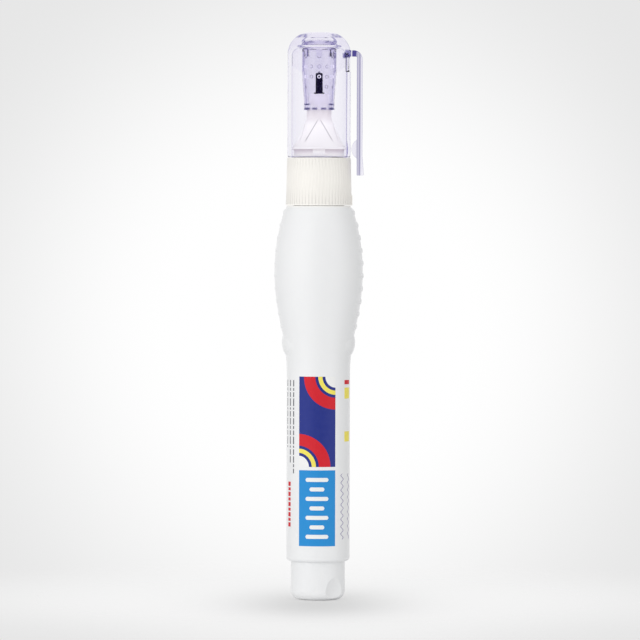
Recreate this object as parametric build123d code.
from build123d import *
import math
import os

# Squeeze correction pen with a sprung metal tip, standing on its tail with the cap on.
# Frame: +Z up along the pen's axis, origin at the centre of the tail's flat foot, clip towards +X.
# All lengths are in millimetres and all angles in degrees.

# Fits shared by several pieces
fit_clearance = 0.03  # radial, between pieces that are pressed together
slide_clearance = 0.08  # radial, between the cap and what it slides on
part_gap = 0.10  # between faces that stop just short of each other
cut_overrun = 1.0  # how far a cutting tool runs past the face that it leaves through

# Seat: the tail and the nozzle share one radius, so the cap fits on both
seat_radius = 6.43
seat_height = 2.5

# Cap
cap_wall = 1.0
cap_top_wall = 1.9
cap_rim_chamfer = 0.25
dome_round = 5.15
tip_headroom = 6.05  # from the needle's point to the spigot above it
spigot_radius = 2.2
spigot_length = 1.3
ceiling_rise = 1.4  # from the edge of the sleeve up to the root of the spigot
ceiling_arch = 0.3  # how far the ceiling and the sleeve's top bow up between those two
web_thickness = 0.8  # two webs inside the cap keep the sleeve upright
web_drop = 6.3  # from the ceiling's edge down to the web's foot at the sleeve
web_slant = 1.6  # how much higher the web's foot is at the cap's wall
pocket_depth = 0.7  # blind pocket in the cap's wall under the clip's root
pocket_width = 3.2
pocket_length = 3.6

# Inner sleeve of the cap
sleeve_wall = 0.6
sleeve_head_step = 0.5  # how much wider the sleeve's upper part is
sleeve_head_length = 6.1
sleeve_taper_length = 6.5
sleeve_overlap = 1.8  # how far the sleeve's mouth reaches down over the nozzle's boss
sleeve_lead_depth = 1.3  # wider entry of the sleeve's mouth
sleeve_lead_step = 0.2
sleeve_top_wall = 0.9
sleeve_rib_count = 6
sleeve_rib_width = 1.3
sleeve_rib_height = 0.35
sleeve_rib_length = 2.4
bead_radius = 0.45
bead_sink = 0.15  # how far a bead's centre lies inside the sleeve's wall
bead_rows = 3
bead_pitch = 2.4

# Pocket clip
clip_gap = 1.42  # from the cap's wall to the arm
clip_thickness = 1.4
clip_top_width = 4.6
clip_end_width = 3.6
clip_bridge_height = 1.5
clip_bridge_drop = 4.3  # from the cap's top down to the bridge's upper face
clip_pad_height = 0.25  # how far the cap's clip pad stands out of its wall
clip_drop = 4.3  # how far the arm reaches below the cap's rim
clip_end_round = 1.2
clip_corner_round = 2.2
clip_flare = 0.35  # how far the arm thickens towards its end
clip_flare_length = 4.5
bump_length = 4.3
bump_rise = 6.3  # from the arm's end up to the middle of the bump
bump_gap = 0.2  # between the bump and the cap's wall

# Nozzle: collar, grooved seat, cone, boss and nose in one moulding
collar_height = 11.3
collar_ledge = 0.02  # how far the collar's top stands out past the cap
collar_draft = 0.28  # how much wider the collar is at its foot
skirt_wall = 1.45
deck_wall = 1.4
lug_height = 2.4
lug_width = 3.0
lug_depth = 0.15
seat_land = 0.5  # plain bands of the seat below and above its groove
seat_groove_depth = 0.45
seat_key_width = 2.8  # key across the groove at the front
seat_key_height = 1.6
cone_inset = 0.1
cone_height = 7.0
flare_depth = 0.32  # how far the cone's outline bows in between its ends
lobe_height = 0.22  # how far the cone's four lobes stand out at their foot
lobe_rise = 1.0  # from the seat's top up to the foot of the lobes
lobe_count = 4
valley_half_angle = 30.0  # of the triangular valleys between the lobes
boss_radius = 2.95
boss_height = 3.7
nose_step = 0.42
nose_taper = 0.16
nose_height = 2.0
stem_wall = 1.2
core_rise = 2.2  # how far the hollow under the cone reaches above the seat

# Valve: metal tube, needle, spring and retainer
needle_radius = 0.42
needle_point_radius = 0.30
needle_point_out = 0.4
needle_head_gap = 0.2  # between the needle's head and the tube's shank
needle_head_height = 0.8
needle_tail_radius = 0.5
needle_tail_length = 4.0
needle_seat_length = 0.35
flow_gap = 0.15  # radial, round the needle inside the tube
tube_wall = 0.28
tube_length = 5.0
tube_lip = 0.4
tube_lip_clearance = 0.05
tube_nose_round = 0.25
shank_step = 0.25
shank_length = 5.0
flange_step = 0.15
flange_height = 0.35
spring_wire = 0.25
spring_play = 0.12  # radial, round the needle's tail
spring_turns = 10
chamber_play = 0.3  # radial, round the spring
retainer_lip = 0.55
retainer_height = 2.0
retainer_hole_radius = 0.5
retainer_slot_width = 0.5
retainer_slot_depth = 0.7

# Inner plug in the bottle's neck
plug_flange = 0.8
plug_length = 5.0
plug_bore_radius = 1.2
plug_lead = 0.5
plug_hollow_wall = 1.3
plug_floor = 1.2

# Bottle
bottle_wall = 1.0
tail_wall = 1.4
tail_height = 9.2
foot_round = 2.2
foot_wall = 1.2
barrel_step = 1.1
barrel_edge_round = 0.9
barrel_length = 45.1
bulge_swell = 2.97
bulge_middle_share = 0.55  # of the swell, reached half way from the barrel up to the belly
bulge_lower_length = 23.75
bulge_upper_length = 13.95
shoulder_narrowing = 2.1  # from the bulge's radius to the top of the grip
shoulder_lean = 0.3  # sideways run for one of rise, where the grip meets the shoulder
shoulder_height = 1.75
shoulder_deck_step = 0.95  # from the top of the grip in to the flat deck
neck_wall = 1.2
snap_bead_radius = 0.35
snap_bead_drop = 5.0  # from the neck's rim down to the snap bead
scoop_radius = 9.0  # of the ball that cuts the scoop in the tail
scoop_depth = 0.8
scoop_rise = 1.7
scoop_angle = -52.0  # round the axis, from the clip's side

# Grip ridges on both sides of the bulge
ridge_count = 10
ridge_pitch = 2.98
ridge_height = 0.24  # on the clip's side
ridge_far_height = 0.12
ridge_round = 1.2
ridge_sink = 1.6  # how much tighter a ridge curves than the bulge, so that its ends fade
ridge_half_span = 52.0
ridge_top_drop = 1.75  # from the shoulder's deck down to the top ridge
roll_height = 0.53  # the wide roll below the ridges, where the fingers rest
roll_round = 5.5
roll_drop = 3.9  # from the lowest ridge down to the roll

# Mixing ball
ball_radius = 2.4

# Radii that follow from the sizes above
cap_bore = seat_radius + slide_clearance
cap_radius = cap_bore + cap_wall
collar_top_radius = cap_radius + collar_ledge
collar_foot_radius = collar_top_radius + collar_draft
skirt_bore = collar_top_radius - skirt_wall
neck_radius = skirt_bore - fit_clearance
neck_bore = neck_radius - neck_wall
cone_base_radius = seat_radius - cone_inset
nose_base_radius = boss_radius - nose_step
nose_top_radius = nose_base_radius - nose_taper
tube_bore = needle_radius + flow_gap
tube_radius = tube_bore + tube_wall
lip_bore = needle_point_radius + tube_lip_clearance
shank_radius = tube_radius + shank_step
flange_radius = shank_radius + flange_step
tip_bore = shank_radius + fit_clearance
spring_radius = needle_tail_radius + spring_play + spring_wire / 2
spring_outer_radius = spring_radius + spring_wire / 2
chamber_radius = spring_outer_radius + chamber_play
retainer_bore = chamber_radius + retainer_lip
retainer_radius = retainer_bore - fit_clearance
stem_radius = retainer_bore + stem_wall
sleeve_bore = boss_radius + slide_clearance
sleeve_radius = sleeve_bore + sleeve_wall
sleeve_head_radius = sleeve_radius + sleeve_head_step
sleeve_head_bore = sleeve_bore + sleeve_head_step
ceiling_edge_radius = sleeve_head_radius + part_gap
ceiling_round = cap_bore - ceiling_edge_radius
barrel_radius = seat_radius + barrel_step
bulge_radius = barrel_radius + bulge_swell
shoulder_radius = bulge_radius - shoulder_narrowing
shoulder_deck_radius = shoulder_radius - shoulder_deck_step
clip_seam = cap_radius + clip_pad_height
clip_inner = cap_radius + clip_gap
clip_outer = clip_inner + clip_thickness

# Levels up the pen's axis
tail_top = tail_height
barrel_top = tail_top + barrel_length
bulge_level = barrel_top + bulge_lower_length
shoulder_level = bulge_level + bulge_upper_length
deck_level = shoulder_level + shoulder_height
collar_foot = deck_level + part_gap
collar_top = collar_foot + collar_height
deck_underside = collar_top - deck_wall
neck_rim = deck_underside - plug_flange
plug_foot = neck_rim - plug_length
snap_bead_level = neck_rim - snap_bead_drop
seat_top = collar_top + seat_height
lobe_foot = seat_top + lobe_rise
cone_top = seat_top + cone_height
boss_top = cone_top + boss_height
nose_top = boss_top + nose_height
tube_top = nose_top + tube_length
shank_foot = nose_top - shank_length
needle_point = tube_top + needle_point_out
needle_shoulder = tube_top - tube_lip
head_top = shank_foot - needle_head_gap
head_foot = head_top - needle_head_height
needle_foot = head_foot - needle_tail_length
retainer_top = deck_underside + retainer_height
cap_rim = collar_top + part_gap
spigot_foot = needle_point + tip_headroom
ceiling = spigot_foot + spigot_length
ceiling_edge = ceiling - ceiling_rise
cap_top = ceiling + cap_top_wall
dome_foot = cap_top - dome_round
web_foot = ceiling_edge - web_drop
sleeve_top = ceiling_edge - part_gap
sleeve_mouth = boss_top - sleeve_overlap
sleeve_head_foot = sleeve_top - sleeve_head_length
clip_top = cap_top - clip_bridge_drop
clip_foot = cap_rim - clip_drop
bump_level = clip_foot + bump_rise
ball_level = foot_wall + part_gap + ball_radius


def lathe_face(*lines):
    """Face in the XZ plane inside the lines of a closed outline, drawn as (radius, height)."""
    return Plane.XZ * make_face([edge for line in lines for edge in line.edges()])


def lathe(*lines):
    """Solid of revolution about Z from the lines of a closed outline, drawn as (radius, height)."""
    return revolve(lathe_face(*lines), axis=Axis.Z)


def quarter_round(centre, radius, start_angle):
    """A quarter circle, counterclockwise from the start angle."""
    return CenterArc(centre, radius, start_angle, 90)


def radius_at(curve, level):
    """Radius of a rising outline curve at a height, by bisection along the curve."""
    low, high = 0.0, 1.0
    for _ in range(40):
        middle = (low + high) / 2
        rising = (curve @ 1).Y > (curve @ 0).Y
        if ((curve @ middle).Y < level) == rising:
            low = middle
        else:
            high = middle
    return (curve @ low).X


def bulge_curves(inset):
    """Lower and upper outline of the grip bulge, moved in by a wall's thickness."""
    waist = (barrel_radius - inset, barrel_top)
    belly = (bulge_radius - inset, bulge_level)
    throat = (shoulder_radius - inset, shoulder_level)
    middle = (barrel_radius + bulge_middle_share * bulge_swell - inset, (barrel_top + bulge_level) / 2)
    lower = Spline(waist, middle, belly, tangents=((0, 1), (0, 1)))
    upper = Spline(belly, throat, tangents=((0, 1), (-shoulder_lean, 1)))
    return lower, upper


def bottle_body():
    """The bottle's outside as one turned solid, from the foot to the neck's rim."""
    tail_corner = (seat_radius - foot_round, foot_round)
    step_corner = (barrel_radius - barrel_edge_round, tail_top + barrel_edge_round)
    lower, upper = bulge_curves(0)
    throat = upper @ 1
    deck_edge = (shoulder_deck_radius, deck_level)
    bead_foot = (neck_radius, snap_bead_level - snap_bead_radius)
    bead_top = (neck_radius, snap_bead_level + snap_bead_radius)
    bead_crest = (neck_radius + snap_bead_radius, snap_bead_level)
    return lathe(
        Polyline((0, neck_rim), (0, 0), (tail_corner[0], 0)),
        quarter_round(tail_corner, foot_round, -90),
        Polyline((seat_radius, foot_round), (seat_radius, tail_top), (step_corner[0], tail_top)),
        quarter_round(step_corner, barrel_edge_round, -90),
        Line((barrel_radius, step_corner[1]), lower @ 0),
        lower,
        upper,
        TangentArc(throat, deck_edge, tangent=upper % 1),
        Polyline(deck_edge, (neck_radius, deck_level), bead_foot),
        ThreePointArc(bead_foot, bead_crest, bead_top),
        Polyline(bead_top, (neck_radius, neck_rim), (0, neck_rim)),
    )


def bottle_cavity():
    """The space inside the bottle, open through the neck."""
    tail_bore = seat_radius - tail_wall
    barrel_bore = barrel_radius - bottle_wall
    floor_round = tail_bore / 2
    floor_corner = (tail_bore - floor_round, foot_wall + floor_round)
    step_level = tail_top + tail_wall
    lower, upper = bulge_curves(bottle_wall)
    mouth_level = neck_rim + cut_overrun
    return lathe(
        Polyline((0, mouth_level), (0, foot_wall), (floor_corner[0], foot_wall)),
        quarter_round(floor_corner, floor_round, -90),
        Polyline(
            (tail_bore, floor_corner[1]),
            (tail_bore, tail_top),
            (barrel_bore, step_level),
            lower @ 0,
        ),
        lower,
        upper,
        Polyline(
            upper @ 1,
            (neck_bore, deck_level - bottle_wall),
            (neck_bore, mouth_level),
            (0, mouth_level),
        ),
    )


def side_ridge(level, height, section_radius):
    """A bowed bar on the clip's side of the bulge, which sinks into the wall at its ends."""
    lower, upper = bulge_curves(0)
    crest = radius_at(upper if level > bulge_level else lower, level) - ridge_sink
    root_depth = height + bottle_wall / 2
    root = crest - root_depth
    half_width = math.sqrt(root_depth * (2 * section_radius - root_depth))
    section = lathe_face(
        ThreePointArc((root, -half_width), (crest, 0), (root, half_width)),
        Line((root, half_width), (root, -half_width)),
    )
    bar = Rot(0, 0, -ridge_half_span) * revolve(section, axis=Axis.Z, revolution_arc=2 * ridge_half_span)
    return Pos(ridge_sink + height, 0, level) * bar


def grip_ridges():
    """The rows of finger ridges, lower on the far side, and the wide roll below them on both sides."""
    far_side = Rot(0, 0, 180)
    top_level = deck_level - ridge_top_drop
    bottom_level = top_level - (ridge_count - 1) * ridge_pitch
    roll = side_ridge(bottom_level - roll_drop, roll_height, roll_round)
    ridges = [roll, far_side * roll]
    for row in range(ridge_count):
        level = top_level - row * ridge_pitch
        ridges.append(side_ridge(level, ridge_height, ridge_round))
        ridges.append(far_side * side_ridge(level, ridge_far_height, ridge_round))
    return ridges


def make_bottle():
    """Blow-moulded squeeze bottle with a stepped tail, grip bulge and plain neck."""
    outside = bottle_body() + grip_ridges()
    scoop_reach = seat_radius - scoop_depth + scoop_radius
    scoop = Rot(0, 0, scoop_angle) * Pos(scoop_reach, 0, scoop_rise) * Sphere(scoop_radius)
    return outside - scoop - bottle_cavity()


def make_mixing_ball():
    """Loose steel ball that stirs the fluid when the pen is shaken."""
    return Pos(0, 0, ball_level) * Sphere(ball_radius)


def make_inner_plug():
    """Soft stopper pressed into the neck; its flange is clamped on the rim and its bore feeds the valve."""
    body_radius = neck_bore - fit_clearance
    hollow_radius = body_radius - plug_hollow_wall
    lead_radius = body_radius - plug_lead
    return lathe(
        Polyline(
            (plug_bore_radius, deck_underside),
            (neck_radius, deck_underside),
            (neck_radius, neck_rim),
            (body_radius, neck_rim),
            (body_radius, plug_foot + plug_lead),
            (lead_radius, plug_foot),
            (hollow_radius, plug_foot),
            (hollow_radius, neck_rim - plug_floor),
            (plug_bore_radius, neck_rim - plug_floor),
            close=True,
        )
    )


def cone_flare(base_radius, base_level, top_radius):
    """Bowed outline of the nozzle's cone from its foot up to the boss."""
    bow = ((base_radius + top_radius) / 2 - flare_depth, (base_level + cone_top) / 2)
    return ThreePointArc((base_radius, base_level), bow, (top_radius, cone_top))


def nozzle_outside():
    """Outer form of the nozzle with its bores still filled."""
    flare = cone_flare(cone_base_radius, seat_top, boss_radius)
    groove_radius = seat_radius - seat_groove_depth
    return lathe(
        Polyline(
            (0, nose_top),
            (0, collar_foot),
            (collar_foot_radius, collar_foot),
            (collar_top_radius, collar_top),
            (seat_radius, collar_top),
            (seat_radius, collar_top + seat_land),
            (groove_radius, collar_top + seat_land),
            (groove_radius, seat_top - seat_land),
            (seat_radius, seat_top - seat_land),
            (seat_radius, seat_top),
            flare @ 0,
        ),
        flare,
        Polyline(
            flare @ 1,
            (boss_radius, boss_top),
            (nose_base_radius, boss_top),
            (nose_top_radius, nose_top),
            (0, nose_top),
        ),
    )


def nozzle_lobes():
    """Four raised lobes on the cone, parted by triangular valleys that meet below the boss."""
    flare = cone_flare(cone_base_radius, seat_top, boss_radius)
    foot_radius = radius_at(flare, lobe_foot) + lobe_height
    outline = cone_flare(foot_radius, lobe_foot, boss_radius)
    lobes = lathe(
        outline,
        Polyline(outline @ 1, (0, cone_top), (0, lobe_foot), outline @ 0),
    )
    drop = cone_top - lobe_foot + cut_overrun
    half_width = drop * math.tan(math.radians(valley_half_angle))
    triangle_foot = cone_top - drop
    triangle = Polyline((0, cone_top), (-half_width, triangle_foot), (half_width, triangle_foot), close=True)
    valley = extrude(Plane.XZ * make_face(triangle), seat_radius + cut_overrun)
    for index in range(lobe_count):
        lobes -= Rot(0, 0, index * 360 / lobe_count) * valley
    return lobes


def nozzle_bores():
    """Everything cut out of the nozzle from below: skirt, groove, retainer seat, chamber and tip bore."""
    groove = snap_bead_radius + fit_clearance
    groove_foot = (skirt_bore, snap_bead_level - groove)
    groove_crest = (skirt_bore + groove, snap_bead_level)
    groove_top = (skirt_bore, snap_bead_level + groove)
    entry = collar_foot - cut_overrun
    leaving = nose_top + cut_overrun
    return lathe(
        Polyline((0, leaving), (0, entry), (skirt_bore, entry), groove_foot),
        ThreePointArc(groove_foot, groove_crest, groove_top),
        Polyline(
            groove_top,
            (skirt_bore, deck_underside),
            (retainer_bore, deck_underside),
            (retainer_bore, retainer_top),
            (chamber_radius, retainer_top),
            (chamber_radius, shank_foot),
            (tip_bore, shank_foot),
            (tip_bore, leaving),
            (0, leaving),
        ),
    )


def nozzle_core():
    """Ring-shaped hollow under the cone, which keeps the moulding's walls even."""
    core_radius = seat_radius - stem_wall
    return lathe(
        Polyline(
            (stem_radius, deck_underside - cut_overrun),
            (core_radius, deck_underside - cut_overrun),
            (core_radius, seat_top - stem_wall),
            (stem_radius, seat_top + core_rise),
            close=True,
        )
    )


def seat_key():
    """Key across the seat's groove at the front, flush with the seat."""
    upright = (Align.CENTER, Align.CENTER, Align.MIN)
    slab_depth = 4 * seat_groove_depth
    slab = Pos(0, -seat_radius, 0) * Box(seat_key_width, slab_depth, seat_key_height, align=upright)
    return Pos(0, 0, collar_top) * (slab & Cylinder(seat_radius, seat_key_height, align=upright))


def make_nozzle_collar():
    """Collar, cap seat and cone in one moulding, snapped over the bottle's neck."""
    lug = Pos(0, 0, collar_foot) * Box(
        collar_foot_radius + lug_depth,
        lug_width,
        lug_height,
        align=(Align.MIN, Align.CENTER, Align.MIN),
    )
    outside = nozzle_outside() + nozzle_lobes() + lug + seat_key()
    return outside - nozzle_bores() - nozzle_core()


def make_tip_tube():
    """Turned metal nose: flanged shank pressed into the nozzle, and a thin tube with an inward lip."""
    nose_corner = (tube_radius - tube_nose_round, tube_top - tube_nose_round)
    return lathe(
        Polyline(
            (nose_corner[0], tube_top),
            (lip_bore, tube_top),
            (lip_bore, needle_shoulder),
            (tube_bore, needle_shoulder - needle_seat_length),
            (tube_bore, shank_foot),
            (shank_radius, shank_foot),
            (shank_radius, nose_top),
            (flange_radius, nose_top),
            (flange_radius, nose_top + flange_height),
            (tube_radius, nose_top + flange_height),
            (tube_radius, nose_corner[1]),
        ),
        quarter_round(nose_corner, tube_nose_round, 0),
    )


def make_valve_needle():
    """Needle whose point shows at the tip; pressed on paper it sinks and lets the fluid out."""
    seat_foot = needle_shoulder - needle_seat_length - tube_lip_clearance
    dome_foot_level = needle_point - needle_point_radius
    head_radius = spring_outer_radius
    return lathe(
        Polyline(
            (0, needle_point),
            (0, needle_foot),
            (needle_tail_radius, needle_foot),
            (needle_tail_radius, head_foot),
            (head_radius, head_foot),
            (head_radius, head_top),
            (needle_radius, head_top),
            (needle_radius, seat_foot),
            (needle_point_radius, needle_shoulder - tube_lip_clearance),
            (needle_point_radius, dome_foot_level),
        ),
        quarter_round((0, dome_foot_level), needle_point_radius, 0),
    )


def spring_path():
    """Helix of the spring as pairs of tangent arcs, two for each quarter turn, from the retainer up."""
    first = retainer_top + part_gap + spring_wire / 2
    last = head_foot - part_gap - spring_wire / 2
    pitch = (last - first) / spring_turns
    quarter_rise = pitch / 4
    rise_slope = pitch / (2 * math.pi * spring_radius)

    def point_and_tangent(quarter):
        angle = math.radians(90 * quarter)
        level = first + quarter * quarter_rise
        point = Vector(spring_radius * math.cos(angle), spring_radius * math.sin(angle), level)
        return point, Vector(-math.sin(angle), math.cos(angle), rise_slope).normalized()

    arcs = []
    for quarter in range(4 * spring_turns):
        start, start_way = point_and_tangent(quarter)
        end, end_way = point_and_tangent(quarter + 1)
        chord = end - start
        ways = start_way + end_way
        spread = 2 * (1 - start_way.dot(end_way))
        along = chord.dot(ways)
        reach = (math.sqrt(along * along + spread * chord.dot(chord)) - along) / spread
        joint = (start + start_way * reach + end - end_way * reach) * 0.5
        joint_way = (end - end_way * reach) - (start + start_way * reach)
        arcs.append(TangentArc(start, joint, tangent=start_way))
        arcs.append(TangentArc(joint, end, tangent=joint_way))
    print("needle spring: pitch", round(pitch, 3), "least gap between turns", round(pitch - spring_wire, 3))
    return arcs


def make_needle_spring():
    """Coil spring that pushes the needle up against the tube's lip."""
    arcs = spring_path()
    wire = Wire([arc.edge() for arc in arcs])
    section = Plane(origin=arcs[0] @ 0, z_dir=arcs[0] % 0) * Circle(spring_wire / 2)
    return sweep(section, path=wire)


def make_spring_retainer():
    """Bush that closes the valve chamber behind the spring, slotted so that the fluid can pass."""
    bush = Pos(0, 0, deck_underside) * Cylinder(
        retainer_radius, retainer_height, align=(Align.CENTER, Align.CENTER, Align.MIN)
    )
    hole = Pos(0, 0, deck_underside) * Cylinder(retainer_hole_radius, 2 * retainer_height + cut_overrun)
    slot = Pos(0, 0, deck_underside) * Box(
        2 * retainer_radius + cut_overrun, retainer_slot_width, 2 * retainer_slot_depth
    )
    return bush - hole - slot - Rot(0, 0, 90) * slot


def cap_outside():
    """Outer form of the cap with its inside still filled."""
    dome_corner = (cap_radius - dome_round, dome_foot)
    return lathe(
        quarter_round(dome_corner, dome_round, 0),
        Polyline(
            (dome_corner[0], cap_top),
            (0, cap_top),
            (0, cap_rim),
            (cap_radius - cap_rim_chamfer, cap_rim),
            (cap_radius, cap_rim + cap_rim_chamfer),
            (cap_radius, dome_foot),
        ),
    )


def cap_cavity():
    """Space inside the cap, round the spigot, parted by the webs that keep the sleeve upright."""
    ceiling_corner = (ceiling_edge_radius, ceiling_edge - ceiling_round)
    cavity = lathe(
        quarter_round(ceiling_corner, ceiling_round, 0),
        SagittaArc((ceiling_edge_radius, ceiling_edge), (spigot_radius, ceiling), -ceiling_arch),
        Polyline(
            (spigot_radius, ceiling),
            (spigot_radius, spigot_foot),
            (0, spigot_foot),
            (0, cap_rim - cut_overrun),
            (cap_bore + cap_rim_chamfer, cap_rim - cut_overrun),
            (cap_bore + cap_rim_chamfer, cap_rim),
            (cap_bore, cap_rim + cap_rim_chamfer),
            (cap_bore, ceiling_corner[1]),
        ),
    )
    web_side = Polyline(
        (ceiling_edge_radius, web_foot),
        (cap_bore, web_foot + web_slant),
        (cap_bore, ceiling),
        (ceiling_edge_radius, ceiling),
        close=True,
    )
    web = extrude(lathe_face(web_side), web_thickness / 2, both=True)
    return cavity - web - Rot(0, 0, 180) * web


def make_cap_shell():
    """Clear cap with a thick domed top, a spigot for the sleeve and a pad that carries the clip."""
    pad_root = cap_radius - cap_wall / 2
    pad = Pos(pad_root, 0, clip_top) * Box(
        clip_seam - pad_root,
        clip_top_width,
        clip_bridge_height,
        align=(Align.MIN, Align.CENTER, Align.MAX),
    )
    pocket_top = clip_top - clip_bridge_height
    pocket = Pos(cap_radius, 0, pocket_top) * Box(
        2 * pocket_depth,
        pocket_width,
        pocket_length - pocket_depth,
        align=(Align.CENTER, Align.CENTER, Align.MAX),
    )
    pocket_end = Pos(cap_radius, 0, pocket_top - pocket_length + pocket_depth) * Rot(90, 0, 0) * Cylinder(
        pocket_depth, pocket_width
    )
    return cap_outside() - cap_cavity() + pad - pocket - pocket_end


def sleeve_tube():
    """Plain turned form of the sleeve: wide head, tapered body and an arched top that grips the spigot."""
    top_bore = spigot_radius + fit_clearance
    root_top = ceiling - part_gap
    root_foot = root_top - sleeve_top_wall
    head_ceiling = sleeve_top - sleeve_top_wall
    taper_foot = sleeve_head_foot - sleeve_taper_length
    return lathe(
        SagittaArc((top_bore, root_top), (sleeve_head_radius, sleeve_top), ceiling_arch),
        Polyline(
            (sleeve_head_radius, sleeve_top),
            (sleeve_head_radius, sleeve_head_foot),
            (sleeve_radius, taper_foot),
            (sleeve_radius, sleeve_mouth),
            (sleeve_bore + sleeve_lead_step, sleeve_mouth),
            (sleeve_bore + sleeve_lead_step, sleeve_mouth + sleeve_lead_depth),
            (sleeve_bore, sleeve_mouth + sleeve_lead_depth),
            (sleeve_bore, taper_foot),
            (sleeve_head_bore, sleeve_head_foot),
            (sleeve_head_bore, head_ceiling),
        ),
        SagittaArc((sleeve_head_bore, head_ceiling), (top_bore, root_foot), -ceiling_arch),
        Polyline((top_bore, root_foot), (top_bore, root_top)),
    )


def sleeve_bore_at(level):
    """Radius of the sleeve's bore at a height."""
    below_head = max(0, sleeve_head_foot - level)
    return sleeve_head_bore - sleeve_head_step * min(1, below_head / sleeve_taper_length)


def make_cap_inner_sleeve():
    """Clear sleeve inside the cap that closes over the nozzle's boss, ribbed and beaded in its bore."""
    rib_top = sleeve_top - sleeve_top_wall / 2
    first_bead = sleeve_top - sleeve_rib_length
    rib = Pos(sleeve_head_bore, 0, rib_top) * Box(
        2 * sleeve_rib_height,
        sleeve_rib_width,
        rib_top - first_bead,
        align=(Align.CENTER, Align.CENTER, Align.MAX),
    )
    step = 360 / sleeve_rib_count
    details = []
    for index in range(sleeve_rib_count):
        ribbed = Rot(0, 0, -90 + index * step)
        plain = Rot(0, 0, -90 + (index + 1 / 2) * step)
        details.append(ribbed * rib)
        for row in range(bead_rows):
            for column, level in (
                (ribbed, first_bead - row * bead_pitch),
                (plain, first_bead - (row + 1) * bead_pitch),
            ):
                bead = Pos(sleeve_bore_at(level) + bead_sink, 0, level) * Sphere(bead_radius)
                details.append(column * bead)
    return sleeve_tube() + details


def make_pocket_clip():
    """Springy clip: bridge, straight arm and a rounded bump that grips the cloth."""
    bump_height = clip_gap - bump_gap
    seam = clip_seam + part_gap / 2
    bridge_foot = clip_top - clip_bridge_height
    corner = (clip_outer - clip_corner_round, clip_top - clip_corner_round)
    bump_top = (clip_inner, bump_level + bump_length / 2)
    bump_foot = (clip_inner, bump_level - bump_length / 2)
    side = make_face(
        [
            *Polyline((corner[0], clip_top), (seam, clip_top), (seam, bridge_foot)).edges(),
            *Polyline((seam, bridge_foot), (clip_inner, bridge_foot), bump_top).edges(),
            *ThreePointArc(bump_top, (clip_inner - bump_height, bump_level), bump_foot).edges(),
            *Polyline(
                bump_foot,
                (clip_inner, clip_foot),
                (clip_outer + clip_flare, clip_foot),
                (clip_outer, clip_foot + clip_flare_length),
                (clip_outer, corner[1]),
            ).edges(),
            *quarter_round(corner, clip_corner_round, 0).edges(),
        ]
    )
    bar = extrude(Plane.XZ * side, clip_top_width, both=True)
    front = Polyline(
        (-clip_top_width / 2, clip_top + cut_overrun),
        (clip_top_width / 2, clip_top + cut_overrun),
        (clip_end_width / 2, clip_foot),
        (-clip_end_width / 2, clip_foot),
        close=True,
    )
    outline = fillet(make_face(front).vertices().group_by(Axis.Y)[0], clip_end_round)
    return bar & extrude(Plane.YZ * outline, clip_outer + clip_flare + cut_overrun)


def main():
    """Writes one STEP file for each piece."""
    os.makedirs("parts", exist_ok=True)
    pieces = {
        "bottle": make_bottle(),
        "mixing_ball": make_mixing_ball(),
        "inner_plug": make_inner_plug(),
        "nozzle_collar": make_nozzle_collar(),
        "tip_tube": make_tip_tube(),
        "valve_needle": make_valve_needle(),
        "needle_spring": make_needle_spring(),
        "spring_retainer": make_spring_retainer(),
        "cap_shell": make_cap_shell(),
        "cap_inner_sleeve": make_cap_inner_sleeve(),
        "pocket_clip": make_pocket_clip(),
    }
    for name, piece in pieces.items():
        export_step(piece, f"parts/{name}.step")
    print("length with the cap on", round(cap_top, 2))


main()
